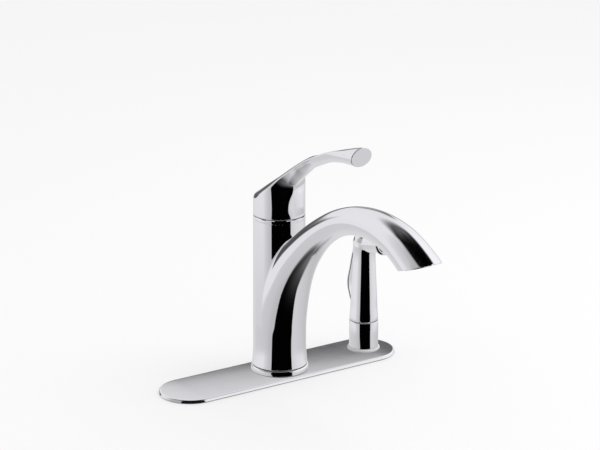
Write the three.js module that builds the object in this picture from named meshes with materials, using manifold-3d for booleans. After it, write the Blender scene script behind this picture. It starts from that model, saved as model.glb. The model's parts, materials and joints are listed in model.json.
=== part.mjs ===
// Single-lever kitchen faucet with an arched spout and a side spray on a long deck plate.
// Millimetres, +Z up. Origin: centre of the faucet body on the underside of the deck plate,
// which is the surface that lies on the sink deck. The spout points to -Y, the spray stands at +X.
import * as THREE from 'three';
import { mergeVertices } from 'three/addons/utils/BufferGeometryUtils.js';
import Module from 'manifold-3d';

const wasm = await Module();
wasm.setup();

// ---------------------------------------------------------------- driving dimensions
const GAP = 0.3;                       // clearance between neighbouring pieces
const SPRAY_X = 101.6;                 // spray hole, one 4-inch hole spacing from the body

const PLATE = { length: 266, width: 63, height: 4, edge: 2.6, wall: 1.6 };
const UNDERLAY_HEIGHT = 2.1;
const SINK_DECK = 22;                  // thickness of sink deck that the clamp nuts leave free

const BODY = { bottom: 10, top: 161.4, footRadius: 27.5, lowRadius: 26, topRadius: 25.3, bore: 21 };
const BASE_RING = { bottom: 4.3, top: 9.5, radius: 28.3 };

const PIVOT_Z = 168.4;                 // centre that the handle tilts about
const HUB = { bottom: 162.4, radius: 25.25, cavity: 13.6, skirtBore: 18 };
const DISH_RADIUS = 26.25;             // hollow in the body's top that the tilting hub dips into

const SPOUT_START_Z = 25;
const SPOUT_KNOTS = [                  // y, z and radius along the spout's centre line
  [0, 25, 25.3], [-2, 57.5, 25.4], [-10.7, 88.7, 24], [-27, 116.8, 20.4], [-48.7, 141, 16.6],
  [-73.7, 161.8, 13.8], [-101.9, 178, 12.9], [-133, 187.2, 13.6], [-165.4, 188.7, 15.2],
  [-197.2, 182.1, 16.9], [-223.9, 167.9, 18.3], [-243, 154, 19],
];
const MOUTH = { y: -223.9, z: 167.6, tilt: 20, recess: 12.7, depth: 8 };

// Side view (y, z) of the hub's slanted top, from the back edge to under the lever's root
const HUB_TOP = [[26, 171.7], [20.5, 175], [8.8, 181.6], [-1, 187.8], [-11.8, 196], [-19.5, 202.9],
  [-27.3, 209.3]];

// The lever is one skin from inside the hub out to the oval tip. Each station is a straight line in
// the side view, from the keel (y, z) to the top (y, z), with the half-width there. `round` is 0
// where the top is flat and 1 where the section closes as an oval.
const LEVER_STATIONS = [
  { keel: [-16, 181], top: [-11.8, 196], half: 20, round: 0 },
  { keel: [-22.5, 189], top: [-19.5, 202.9], half: 18, round: 0 },
  { keel: [-26, 195.5], top: [-27.3, 209.3], half: 16.3, round: 0 },
  { keel: [-30.6, 203], top: [-37.5, 215.9], half: 15.2, round: 0 },
  { keel: [-38, 209.6], top: [-47.6, 222], half: 14.5, round: 0 },
  { keel: [-46, 214.6], top: [-57.7, 228], half: 12.8, round: 0 },
  { keel: [-57, 219.8], top: [-72.6, 235.7], half: 9.8, round: 0 },
  { keel: [-71.5, 226.2], top: [-88, 242.4], half: 9.3, round: 0.1 },
  { keel: [-88, 232.6], top: [-104.7, 248.2], half: 9.7, round: 0.3 },
  { keel: [-106, 236.3], top: [-118.3, 252.4], half: 10.3, round: 0.6 },
  { keel: [-121, 237.8], top: [-129, 255.3], half: 11, round: 0.9 },
  { keel: [-132.9, 238.2], top: [-137.1, 257], half: 11.4, round: 1 },
];
const FLANK_POWER = 1.6;

const VALVE = {
  bottom: 4.3, radius: 20.4, top: 153, cupRadius: 16.2, cupFloor: 134, portRadius: 4.2,
  portOffset: 9,                       // supply and outlet bores stand this far off the axis
  sealHeights: [22, 104], chamber: [40, 80], outletZ: 66,
};
const DISC = { portRadius: 3.4, fixedBottom: 135.8, fixedTop: 139.6, movingTop: 143.4, movingRadius: 8 };
const CARTRIDGE = { radius: 13.9, postRadius: 9.3, top: 172.6, pinBore: 1.8 };
const SHANK = { radius: 15.5, bore: 13, bottom: -58 };
const STEM = { reach: 24.6, tilt: 9.85, radius: 2.2, ball: 2.3 };

const HOLDER = { bottom: 4.2, top: 34.4, radius: 14.7, bore: 11.6 };
const WAND = { bottom: 35, seamRadius: 14.4, neckRadius: 11.3, headTop: 126 };
const NOZZLE = { y: -35, z: 122.4, tilt: 12, barrel: 8.9, flange: 11 };
const TRIGGER = { hingeY: 5.4, hingeZ: 117, width: 14 };

// ---------------------------------------------------------------- materials
const finish = (color, roughness, metalness) =>
  new THREE.MeshStandardMaterial({ color, roughness, metalness });
const chrome = () => finish(0xdfe2e6, 0.06, 1);
const brass = () => finish(0xc9a24a, 0.35, 1);
const steel = () => finish(0xb9bcc0, 0.35, 1);
const copper = () => finish(0xc27a4a, 0.3, 1);
const rubber = () => finish(0x1c1c1d, 0.8, 0);
const ceramic = () => finish(0xf1efe8, 0.3, 0);
const darkPlastic = () => finish(0x2e3033, 0.5, 0);
const greyPlastic = () => finish(0x8d9196, 0.5, 0);
const whitePlastic = () => finish(0xe6e6e4, 0.5, 0);

// ---------------------------------------------------------------- solids
const degrees = Math.PI / 180;
const stemSwing = STEM.reach * Math.sin(STEM.tilt * degrees);   // the stem's foot stands this far back
const v2 = (x, y) => new THREE.Vector2(x, y);
const v3 = (x, y, z) => new THREE.Vector3(x, y, z);

function solid(geometry, matrix) {
  const g = geometry.clone();
  if (matrix) g.applyMatrix4(matrix);
  g.deleteAttribute('normal');
  g.deleteAttribute('uv');
  const merged = mergeVertices(g, 1e-4);
  return new wasm.Manifold(new wasm.Mesh({
    numProp: 3,
    vertProperties: new Float32Array(merged.attributes.position.array),
    triVerts: new Uint32Array(merged.index.array),
  }));
}

const cut = (base, ...tools) => tools.reduce((a, b) => a.subtract(b), base);
const join = (base, ...others) => others.reduce((a, b) => a.add(b), base);
const at = (x, y, z) => new THREE.Matrix4().makeTranslation(x, y, z);

function geometryOf(manifold) {
  const mesh = manifold.getMesh();
  const g = new THREE.BufferGeometry();
  g.setAttribute('position', new THREE.BufferAttribute(new Float32Array(mesh.vertProperties), 3));
  g.setIndex(new THREE.BufferAttribute(new Uint32Array(mesh.triVerts), 1));
  g.computeVertexNormals();
  return g;
}

// a body of revolution about the vertical through (x, y) from [radius, z] pairs, listed upwards
// along the outside and, where the body has a bore, down again along the inside
function revolve(pairs, segments = 36, x = 0, y = 0) {
  const closed = pairs[0][0] > 0;
  const points = pairs.map(([r, z]) => v2(r, z));
  if (closed) points.push(points[0].clone());
  const g = new THREE.LatheGeometry(points, segments);
  return solid(g, at(x, y, 0).multiply(new THREE.Matrix4().makeRotationX(Math.PI / 2)));
}
const rod = (radius, z0, z1, segments = 28, x = 0, y = 0) =>
  revolve([[0, z0], [radius, z0], [radius, z1], [0, z1]], segments, x, y);
const ring = (outer, inner, z0, z1, segments = 32, x = 0, y = 0) =>
  revolve([[outer, z0], [outer, z1], [inner, z1], [inner, z0]], segments, x, y);

// a straight rod between two points
function rodBetween(from, to, radius, segments = 16) {
  const axis = to.clone().sub(from);
  const turn = new THREE.Quaternion().setFromUnitVectors(v3(0, 1, 0), axis.clone().normalize());
  const middle = from.clone().add(to).multiplyScalar(0.5);
  const g = new THREE.CylinderGeometry(radius, radius, axis.length(), segments);
  return solid(g, new THREE.Matrix4().compose(middle, turn, v3(1, 1, 1)));
}

// a body of revolution about any axis: [radius, distance along the axis from the origin point]
function revolveAbout(origin, direction, pairs, segments = 32) {
  const points = pairs.map(([r, d]) => v2(r, d));
  if (pairs[0][0] > 0) points.push(points[0].clone());
  const turn = new THREE.Quaternion().setFromUnitVectors(v3(0, 1, 0), direction);
  return solid(new THREE.LatheGeometry(points, segments),
    new THREE.Matrix4().compose(origin, turn, v3(1, 1, 1)));
}

// drills for a ring of small holes along an axis, round a point of it
function ringOfHoles(origin, axis, ringRadius, count, radius) {
  const side = v3(1, 0, 0);
  const up = axis.clone().cross(side);
  return Array.from({ length: count }, (_, i) => {
    const angle = (i / count) * 2 * Math.PI;
    const centre = origin.clone().addScaledVector(side, ringRadius * Math.cos(angle))
      .addScaledVector(up, ringRadius * Math.sin(angle));
    return revolveAbout(centre, axis, [[0, -10], [radius, -10], [radius, 4], [0, 4]], 6);
  });
}

// a side-view outline (y, z) carried sideways from x0 to x1
function sideExtrude(shape, x0, x1) {
  const g = new THREE.ExtrudeGeometry(shape, { depth: x1 - x0, bevelEnabled: false, curveSegments: 3 });
  const toSide = new THREE.Matrix4().makeBasis(v3(0, 1, 0), v3(0, 0, 1), v3(1, 0, 0));
  return solid(g, at(x0, 0, 0).multiply(toSide));
}

// a plan-view outline carried up from z0 to z1
function planExtrude(shape, z0, z1, curveSegments = 12, x = 0, y = 0) {
  const g = new THREE.ExtrudeGeometry(shape, { depth: z1 - z0, bevelEnabled: false, curveSegments });
  return solid(g, at(x, y, z0));
}

function stadium(length, width) {
  const half = (length - width) / 2;
  const shape = new THREE.Shape();
  shape.absarc(half, 0, width / 2, -Math.PI / 2, Math.PI / 2);
  shape.absarc(-half, 0, width / 2, Math.PI / 2, 1.5 * Math.PI);
  return shape;
}

function polygon(sides, acrossFlats) {
  const shape = new THREE.Shape();
  const radius = acrossFlats / 2 / Math.cos(Math.PI / sides);
  for (let i = 0; i < sides; i += 1) {
    const angle = ((i + 0.5) / sides) * 2 * Math.PI;
    const [x, y] = [radius * Math.cos(angle), radius * Math.sin(angle)];
    if (i === 0) shape.moveTo(x, y); else shape.lineTo(x, y);
  }
  return shape;
}

function rectangle(x0, x1, y0, y1) {
  const shape = new THREE.Shape();
  shape.moveTo(x0, y0);
  shape.lineTo(x1, y0);
  shape.lineTo(x1, y1);
  shape.lineTo(x0, y1);
  return shape;
}

// ---------------------------------------------------------------- scene graph
const faucet = new THREE.Group();

function group(name, parent = faucet) {
  const g = new THREE.Group();
  g.name = name;
  parent.add(g);
  return g;
}

function addPiece(parent, name, manifold, material) {
  const mesh = new THREE.Mesh(geometryOf(manifold), material);
  mesh.name = name;
  parent.add(mesh);
}

// ---------------------------------------------------------------- deck plate and clamping
function deckPlate() {
  const { length, width, height, edge, wall } = PLATE;
  const blank = new THREE.ExtrudeGeometry(stadium(length - 2 * edge, width - 2 * edge), {
    depth: height - edge, bevelEnabled: true, bevelThickness: edge, bevelSize: edge,
    bevelSegments: 2, curveSegments: 11,
  });
  const slab = solid(blank).intersect(planExtrude(stadium(length + 2, width + 2), 0, height, 8));
  const recess = planExtrude(stadium(length - 4 * wall, width - 4 * wall), -1, height - wall, 8);
  return cut(slab, recess,
    rod(SHANK.radius + 1, -1, height + 1, 20), rod(HOLDER.bore + 1, -1, height + 1, 20, SPRAY_X));
}

function deckUnderlay() {
  const { length, width, wall } = PLATE;
  const slab = planExtrude(
    stadium(length - 4 * wall - 2 * GAP, width - 4 * wall - 2 * GAP), 0, UNDERLAY_HEIGHT, 6);
  return cut(slab,
    rod(SHANK.radius + 1, -1, 5, 20), rod(HOLDER.bore + 1, -1, 5, 20, SPRAY_X));
}

// threaded tube that drops through the deck, with rounded threads along its lower part
function threadedTube(radius, bore, bottom, top, pitch, x = 0) {
  const threads = [];
  for (let z = bottom + pitch; z < -pitch; z += pitch) {
    threads.push([radius - 0.7, z], [radius, z + pitch / 2]);
  }
  return revolve([[bore, bottom], [radius - 0.7, bottom], ...threads,
    [radius, -1], [radius, top], [bore, top]], 16, x);
}

function wingNut(radius, wings, z0, z1, x = 0) {
  const hub = rod(radius + 6, z0, z1, 20, x);
  const bars = [0, 1].map((i) => {
    const wing = new THREE.BoxGeometry(2 * wings, 7, z1 - z0 - 3);
    return solid(wing, at(x, 0, (z0 + z1) / 2).multiply(
      new THREE.Matrix4().makeRotationZ((i * Math.PI) / 2)));
  });
  return cut(join(hub, ...bars), rod(radius + GAP, z0 - 1, z1 + 1, 18, x));
}

function buildDeck() {
  const deck = group('deck');
  addPiece(deck, 'deck_plate', deckPlate(), chrome());
  addPiece(deck, 'deck_underlay', deckUnderlay(), darkPlastic());

  const { bottom, top, radius } = BASE_RING;
  const inner = VALVE.radius + 0.5;
  addPiece(deck, 'base_ring', revolve([
    [inner, bottom], [radius - 0.6, bottom], [radius, bottom + 0.6], [radius, top - 1.2],
    [radius - 1.2, top], [inner, top]], 34), chrome());

  const clampTop = -SINK_DECK;
  addPiece(deck, 'mounting_shank',
    threadedTube(SHANK.radius, SHANK.bore, SHANK.bottom, 22, 10), brass());
  addPiece(deck, 'clamp_gasket', ring(30, SHANK.radius + 0.5, clampTop - 3, clampTop, 18), rubber());
  addPiece(deck, 'clamp_washer',
    ring(29, SHANK.radius + 0.5, clampTop - 5.3, clampTop - 3 - GAP, 18), steel());
  addPiece(deck, 'clamp_nut',
    wingNut(SHANK.radius, 33, clampTop - 20, clampTop - 5.3 - GAP), brass());
}

// ---------------------------------------------------------------- valve body and cartridge
function valveBody() {
  const { bottom, radius, top, cupRadius, cupFloor, portRadius, portOffset: port, outletZ } = VALVE;
  const grooveDepth = 1.8;
  const groove = (z) => ring(radius + 1, radius - grooveDepth, z - 1.2, z + 1.2, 20);
  return cut(rod(radius, bottom, top, 20),
    ...VALVE.sealHeights.map(groove),
    ring(radius + 1, radius - 3.5, ...VALVE.chamber, 20),
    rod(cupRadius, cupFloor, top + 1, 20),
    rod(cupRadius + 1.6, 148, top + 1, 20),
    rod(SHANK.radius + GAP, bottom - 1, 22 + GAP, 18),
    rod(portRadius, 21, cupFloor + 1, 10, -port, 0),
    rod(portRadius, 21, cupFloor + 1, 10, port, 0),
    rod(portRadius, outletZ, cupFloor + 1, 10, 0, port),
    rodBetween(v3(0, port, outletZ), v3(0, radius + 2, outletZ), portRadius, 10),
    rod(portRadius, 21, outletZ - 10, 10, 0, -port),
    rodBetween(v3(0, -port, outletZ - 10), v3(0, -radius - 2, outletZ - 10), portRadius, 10));
}

function seal(radius, minor, z) {
  const g = new THREE.TorusGeometry(radius, minor, 4, 20);
  return solid(g, at(0, 0, z));
}

function cartridgeHousing() {
  return revolve([
    [14.2, 135.8], [15.9, 135.8], [15.9, 149.3], [9.6, 149.3], [9.6, 146.3], [14.2, 146.3]], 20);
}

// a flat disc with the two supply ports and the outlet port
function discWithPorts(radius, portRadius, z0, z1) {
  const port = VALVE.portOffset;
  return cut(rod(radius, z0, z1, 20),
    ...[[-port, 0], [port, 0], [0, port]].map(([x, y]) => rod(portRadius, z0 - 1, z1 + 1, 10, x, y)));
}

// the sliding disc: a plain disc with a mixing hollow below and a socket for the stem above
function movingDisc() {
  const z0 = DISC.fixedTop + 0.2;
  const hollow = { radius: 5.6, depth: 0.9 };
  const socket = { radius: STEM.ball + 0.5, floor: 1.5 };
  return cut(rod(DISC.movingRadius, z0, DISC.movingTop, 20, 0, stemSwing),
    rod(hollow.radius, z0 - 1, z0 + hollow.depth, 14, 0, stemSwing),
    rod(socket.radius, z0 + socket.floor, DISC.movingTop + 1, 12, 0, stemSwing));
}

// turning part of the cartridge: an oval pocket over the disc, a slotted post and the pin holes
function cartridgeRotor() {
  const { radius, postRadius, top, pinBore } = CARTRIDGE;
  const oval = (reach, end) => {
    const shape = new THREE.Shape();
    shape.absarc(0, reach, end, 0, Math.PI);
    shape.absarc(0, -reach, end, Math.PI, 2 * Math.PI);
    return shape;
  };
  const pocket = oval(stemSwing + 0.1, DISC.movingRadius + 0.35);
  const slot = oval(4.3, 2.9);
  const bottom = DISC.fixedTop + GAP;
  const shoulder = 146;
  const post = revolve([
    [0, bottom], [radius, bottom], [radius, shoulder], [postRadius, shoulder], [postRadius, top - 1],
    [postRadius - 1, top], [0, top]], 18);
  return cut(post,
    planExtrude(pocket, bottom - 0.9, DISC.movingTop + 0.4, 6), planExtrude(slot, 143, top + 1.4, 4),
    rodBetween(v3(-12, 0, PIVOT_Z), v3(12, 0, PIVOT_Z), pinBore, 12));
}

function bonnetDome() {
  const outside = [];
  const inside = [];
  const steps = 2;
  const hole = 6.2;                     // opening for the stem
  const flange = { bottom: 153.3, radius: 16.4, thickness: 1 };
  const [outerRadius, innerRadius] = [12.8, 11.2];
  for (let i = 0; i <= steps; i += 1) {
    const arc = (radius) => {
      const angle = (i / steps) * Math.acos(hole / radius);
      return [radius * Math.cos(angle), PIVOT_Z + radius * Math.sin(angle)];
    };
    outside.push(arc(outerRadius));
    inside.unshift(arc(innerRadius));
  }
  return revolve([
    [innerRadius, flange.bottom], [flange.radius, flange.bottom],
    [flange.radius, flange.bottom + flange.thickness],
    [outerRadius, flange.bottom + flange.thickness], ...outside, ...inside], 20);
}

function buildValve() {
  const valve = group('valve');
  addPiece(valve, 'valve_body', valveBody(), brass());
  ['lower_oring', 'upper_oring'].forEach((name, i) => {
    addPiece(valve, name, seal(19.74, 1.02, VALVE.sealHeights[i]), rubber());
  });
  addPiece(valve, 'swivel_washer', ring(24.5, 21.4, 9.62, 11.6, 22), whitePlastic());
  addPiece(valve, 'cartridge_seal',
    discWithPorts(15.6, 4.4, VALVE.cupFloor + 0.2, DISC.fixedBottom - GAP), rubber());
  addPiece(valve, 'fixed_ceramic_disc',
    discWithPorts(CARTRIDGE.radius, DISC.portRadius, DISC.fixedBottom, DISC.fixedTop), ceramic());
  addPiece(valve, 'cartridge_housing', cartridgeHousing(), greyPlastic());
  addPiece(valve, 'retaining_nut', cut(rod(17.4, 149.6, 153, 20),
    rod(10.4, 149, 154, 20), ...[0, 1].map((i) => solid(new THREE.BoxGeometry(40, 4, 2.4),
      at(0, 0, 153).multiply(new THREE.Matrix4().makeRotationZ((i * Math.PI) / 2))))), brass());
  addPiece(valve, 'bonnet_dome', bonnetDome(), chrome());

  const tube = { radius: 4, wall: 1, bottom: -118, top: 20, collarTop: -104, collarWall: 1.8 };
  const supply = (name, x, y) => {
    const pipe = ring(tube.radius, tube.radius - tube.wall, tube.bottom, tube.top, 10, x, y);
    const collar = ring(tube.radius + tube.collarWall, tube.radius - tube.wall / 2, tube.bottom,
      tube.collarTop, 10, x, y);
    addPiece(valve, name, join(pipe, collar), copper());
  };
  supply('hot_supply_tube', -7.2, 3);
  supply('cold_supply_tube', 7.2, 3);
  supply('spray_outlet_tube', 0, -7.4);

  const turning = group('cartridge_turning', valve);
  addPiece(turning, 'cartridge_rotor', cartridgeRotor(), whitePlastic());
  addPiece(turning, 'pivot_pin',
    rodBetween(v3(-9, 0, PIVOT_Z), v3(9, 0, PIVOT_Z), 1.5, 12), steel());
  addPiece(turning, 'moving_ceramic_disc', movingDisc(), ceramic());
}

// ---------------------------------------------------------------- body with arched spout
const knots3 = new THREE.CatmullRomCurve3(SPOUT_KNOTS.map(([y, z]) => v3(0, y, z)), false, 'centripetal');
const knotRadii = SPOUT_KNOTS.map((k) => k[2]);

function radiusAt(u) {
  const place = u * (knotRadii.length - 1);
  const i = Math.min(Math.floor(place), knotRadii.length - 2);
  const before = knotRadii[Math.max(i - 1, 0)];
  const after = knotRadii[Math.min(i + 2, knotRadii.length - 1)];
  const [a, b] = [knotRadii[i], knotRadii[i + 1]];
  const t = place - i;
  const slopeA = (b - before) / 2;
  const slopeB = (after - a) / 2;
  return a * (2 * t ** 3 - 3 * t ** 2 + 1) + b * (3 * t ** 2 - 2 * t ** 3)
    + slopeA * (t ** 3 - 2 * t ** 2 + t) + slopeB * (t ** 3 - t ** 2);
}

// a cylinder bent onto the spout's centre line, with the local radius scaled by `share`
function bentTube(share, from, stations, segments) {
  const g = new THREE.CylinderGeometry(1, 1, 1, segments, stations);
  const position = g.attributes.position;
  for (let i = 0; i < position.count; i += 1) {
    const u = from + (1 - from) * (position.getY(i) + 0.5);
    const centre = knots3.getPoint(u);
    const along = knots3.getTangent(u);
    const across = v3(0, -along.z, along.y);
    const radius = radiusAt(u) * share;
    centre.addScaledVector(v3(1, 0, 0), position.getX(i) * radius);
    centre.addScaledVector(across, position.getZ(i) * radius);
    position.setXYZ(i, centre.x, centre.y, centre.z);
  }
  return solid(g);
}

const mouthNormal = v3(0, -Math.sin(MOUTH.tilt * degrees), -Math.cos(MOUTH.tilt * degrees));
const mouthCentre = v3(0, MOUTH.y + 2, MOUTH.z - 2 * Math.tan(MOUTH.tilt * degrees));

function spoutBody() {
  const { bottom, footRadius, lowRadius, topRadius, bore } = BODY;
  const shell = revolve([
    [0, bottom], [footRadius, bottom], [footRadius - 0.5, bottom + 3],
    [lowRadius + 0.5, bottom + 9], [lowRadius, 55],
    [topRadius, 164], [0, 164]], 36);
  const arm = bentTube(1, 0, 22, 24);
  const beyondMouth = revolveAbout(mouthCentre, mouthNormal, [[0, 0], [60, 0], [60, 60], [0, 60]], 24);
  const dishDepths = [0, 7, 10, 13, 16];
  const dish = revolve([[0, PIVOT_Z - 16],
    ...dishDepths.map((d) => [Math.sqrt(DISH_RADIUS ** 2 - d ** 2), PIVOT_Z - d]).reverse(),
    [DISH_RADIUS, PIVOT_Z + 5], [0, PIVOT_Z + 5]], 36);
  const aboveSeam = rod(40, BODY.top, 200, 24).subtract(
    planExtrude(rectangle(-60, 60, -300, -27), 100, 260));
  const waterway = bentTube(0.5, 0.12, 8, 8);
  const mouthRecess = revolveAbout(mouthCentre, mouthNormal,
    [[0, -MOUTH.depth], [MOUTH.recess, -MOUTH.depth], [MOUTH.recess, 5], [0, 5]], 24);
  const washerSeat = rod(25, bottom - 1, 11.9, 20);
  const whole = join(shell, cut(arm, rod(60, 0, SPOUT_START_Z + 1, 16)));
  return cut(whole, beyondMouth, aboveSeam, dish, rod(bore, 0, 153.4, 20), washerSeat,
    waterway, mouthRecess);
}

function aeratorInsert(radius, from, to) {
  return cut(revolveAbout(mouthCentre, mouthNormal,
    [[0, from], [radius, from], [radius, to], [0, to]], 20),
  ...ringOfHoles(mouthCentre, mouthNormal, 4.6, 6, 0.9));
}

function buildSpout() {
  const spout = group('spout');
  addPiece(spout, 'spout_body', spoutBody(), chrome());
  const outer = MOUTH.recess - GAP;
  addPiece(spout, 'aerator_housing', revolveAbout(mouthCentre, mouthNormal,
    [[outer, -5.6], [outer, 0.2], [outer - 0.8, 1], [9.6, 1], [8.8, 0.2], [8.8, -5.6]], 20), chrome());
  addPiece(spout, 'aerator_insert', aeratorInsert(8.5, -5, -0.6), greyPlastic());
  addPiece(spout, 'aerator_gasket', revolveAbout(mouthCentre, mouthNormal,
    [[outer, -7.7], [outer, -5.9], [9.4, -5.9], [9.4, -7.7]], 20), rubber());
}

// ---------------------------------------------------------------- handle
// one point of a section: index 0 is the keel and `count` the middle of the top
function sectionPoint({ keel, top, half, round }, index, count) {
  const ovalAngle = (Math.PI * index) / count;
  const rise = 1 - Math.cos((Math.PI / 2) * Math.min(index / (count - 1), 1));
  const share = THREE.MathUtils.lerp(rise, (1 - Math.cos(ovalAngle)) / 2, round);
  const y = THREE.MathUtils.lerp(keel[0], top[0], share);
  const z = THREE.MathUtils.lerp(keel[1], top[1], share);
  if (index === count) return [0, y, z];
  const flank = half * (1 - Math.max(1 - rise, 0) ** FLANK_POWER) ** (1 / FLANK_POWER);
  return [THREE.MathUtils.lerp(flank, half * Math.sin(ovalAngle), round), y, z];
}

// a cylinder whose rings are moved onto the sections
function leverSkin() {
  const count = 10;
  const last = LEVER_STATIONS.length - 1;
  const g = new THREE.CylinderGeometry(1, 1, 1, 2 * count, last);
  const position = g.attributes.position;
  for (let i = 0; i < position.count; i += 1) {
    const station = LEVER_STATIONS[Math.round((position.getY(i) + 0.5) * last)];
    const atCentre = Math.hypot(position.getX(i), position.getZ(i)) < 0.5;
    const angle = Math.atan2(position.getX(i), position.getZ(i)) / Math.PI;
    const [x, y, z] = sectionPoint(station, Math.round(Math.abs(angle) * count), count);
    if (atCentre) {
      position.setXYZ(i, 0, (station.keel[0] + station.top[0]) / 2, (station.keel[1] + station.top[1]) / 2);
    } else position.setXYZ(i, Math.sign(angle) * x, y, z);
  }
  return solid(g);
}

function leverHandle() {
  const outline = [...HUB_TOP, [-27.3, HUB.bottom - 1], [26, HUB.bottom - 1]];
  const sideView = new THREE.Shape(outline.map(([y, z]) => v2(y, z)));
  const hub = rod(HUB.radius, HUB.bottom, 212, 36).intersect(sideExtrude(sideView, -30, 30));
  const cavity = solid(new THREE.SphereGeometry(HUB.cavity, 14, 7), at(0, 0, PIVOT_Z));
  const stemHole = stemRod(STEM.radius + GAP, 8, 18.4);
  return cut(join(hub, leverSkin()), cavity, rod(HUB.skirtBore, 150, PIVOT_Z + 1, 20), stemHole,
    screwLine(0, 40, 2.3, 12), screwLine(21.6, 40, 3.5, 20));
}

const stemDirection = v3(0, -Math.sin(STEM.tilt * degrees), Math.cos(STEM.tilt * degrees));
function stemRod(radius, from, to) {
  const pivot = v3(0, 0, PIVOT_Z);
  return rodBetween(pivot.clone().addScaledVector(stemDirection, from),
    pivot.clone().addScaledVector(stemDirection, to), radius, 12);
}

// along the set screw's axis, which meets the stem's top from the +X side of the hub
const screwHeight = 15.9;
function screwLine(x0, x1, radius, segments) {
  const { y, z } = v3(0, 0, PIVOT_Z).addScaledVector(stemDirection, screwHeight);
  return rodBetween(v3(x0, y, z), v3(x1, y, z), radius, segments);
}

function leverStem() {
  const eye = rodBetween(v3(-2.5, 0, PIVOT_Z), v3(2.5, 0, PIVOT_Z), 3.6, 12);
  const tip = v3(0, 0, PIVOT_Z).addScaledVector(stemDirection, -STEM.reach);
  const ball = solid(new THREE.SphereGeometry(STEM.ball, 8, 5), at(tip.x, tip.y, tip.z));
  return cut(join(stemRod(STEM.radius, -STEM.reach, 17.4), eye, ball),
    rodBetween(v3(-5, 0, PIVOT_Z), v3(5, 0, PIVOT_Z), CARTRIDGE.pinBore, 12));
}

function buildHandle() {
  const handle = group('handle');
  addPiece(handle, 'lever_handle', leverHandle(), chrome());
  addPiece(handle, 'lever_stem', leverStem(), steel());
  addPiece(handle, 'handle_set_screw',
    cut(screwLine(2.5, 9.5, 2, 14), screwLine(7, 10, 1.1, 6)), steel());
  addPiece(handle, 'set_screw_plug', screwLine(22, 24.7, 3.2, 20), greyPlastic());
}

// ---------------------------------------------------------------- spray holder and side spray
function buildHolder() {
  const holder = group('holder');
  const { bottom, top, radius, bore } = HOLDER;
  addPiece(holder, 'holder_flange', revolve([
    [12.7, bottom], [15.9, bottom], [16.4, bottom + 0.8], [16.1, bottom + 1.9], [15.2, bottom + 2.6],
    [12.7, bottom + 2.6]], 24, SPRAY_X), whitePlastic());
  addPiece(holder, 'spray_holder', revolve([
    [bore, -46], [12.2, -46], [12.2, bottom + 2.9], [radius, bottom + 2.9], [radius, top - 0.5],
    [radius - 0.5, top], [bore + 0.6, top], [bore, top - 0.6]], 26, SPRAY_X), chrome());
  const clampTop = -SINK_DECK;
  addPiece(holder, 'holder_washer',
    ring(19, 12.6, clampTop - 2, clampTop, 18, SPRAY_X), rubber());
  addPiece(holder, 'holder_nut', cut(
    planExtrude(polygon(6, 34), clampTop - 11, clampTop - 2 - GAP, 4, SPRAY_X),
    rod(12.6, clampTop - 12, clampTop, 18, SPRAY_X)), brass());
}

const nozzleAxis = v3(0, -Math.cos(NOZZLE.tilt * degrees), Math.sin(NOZZLE.tilt * degrees));
const nozzleFace = v3(SPRAY_X, NOZZLE.y, NOZZLE.z);

// back edge of the trigger in the side view, y and z, from the hinge down to the free end
const TRIGGER_BACK = [[4.6, 123], [8.2, 118.6], [10.4, 113], [12.6, 105], [15.3, 96.5],
  [17.8, 86], [20.6, 77], [21.8, 70], [20.8, 64], [18, 57.6], [14.8, 50], [13, 46.4]];
const TRIGGER_FRONT = [[10.4, 47], [14.6, 56.6], [17.2, 63.4], [18.3, 70], [17.2, 77], [14.6, 86],
  [12, 96.5], [9.2, 105], [4.6, 111]];

function wandBody() {
  const { bottom, seamRadius, neckRadius, headTop } = WAND;
  const grip = revolve([
    [0, bottom], [seamRadius - 0.4, bottom], [seamRadius, bottom + 0.5], [seamRadius - 0.5, 44],
    [13.2, 60], [12.2, 77], [neckRadius, 98], [neckRadius, 108], [neckRadius + 0.2, 114],
    [neckRadius - 0.8, 120], [neckRadius - 3.4, headTop - 2], [neckRadius - 7, headTop], [0, headTop]],
  24, SPRAY_X);
  const barrel = revolveAbout(nozzleFace, nozzleAxis, [
    [0, -34], [8.2, -34], [NOZZLE.barrel, -24], [NOZZLE.barrel, -14], [NOZZLE.barrel + 0.7, -5.9],
    [0, -5.9]], 20);
  const channel = planExtrude(rectangle(SPRAY_X - 7.4, SPRAY_X + 7.4, 4.6, 40), 43, 109);
  const hingeSlot = planExtrude(rectangle(SPRAY_X - 7.4, SPRAY_X + 7.4, 1.4, 40), 108, 130);
  const pinHole = rodBetween(v3(SPRAY_X - 10.6, TRIGGER.hingeY, TRIGGER.hingeZ),
    v3(SPRAY_X + 10.6, TRIGGER.hingeY, TRIGGER.hingeZ), 1.5, 14);
  const waterway = rod(3.4, 20, 92, 10, SPRAY_X, -3.6);
  const valveBore = rodBetween(v3(SPRAY_X, -5, 88), v3(SPRAY_X, 14, 88), 3, 10);
  const nozzleBore = revolveAbout(nozzleFace, nozzleAxis, [[0, -22], [6, -22], [6, 5], [0, 5]], 12);
  const riser = rod(3, 84, 118, 8, SPRAY_X, -3.6);
  const socket = rod(9.2, 30, 47, 16, SPRAY_X);
  return cut(join(grip, barrel), channel, hingeSlot, pinHole, waterway, valveBore, nozzleBore,
    riser, socket);
}

// an outline made of smooth stretches that meet at corners
function splineShape(...stretches) {
  const shape = new THREE.Shape();
  stretches.forEach((points, i) => {
    if (i === 0) shape.moveTo(...points[0]); else shape.lineTo(...points[0]);
    shape.splineThru(points.slice(1).map(([y, z]) => v2(y, z)));
  });
  return shape;
}

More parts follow.
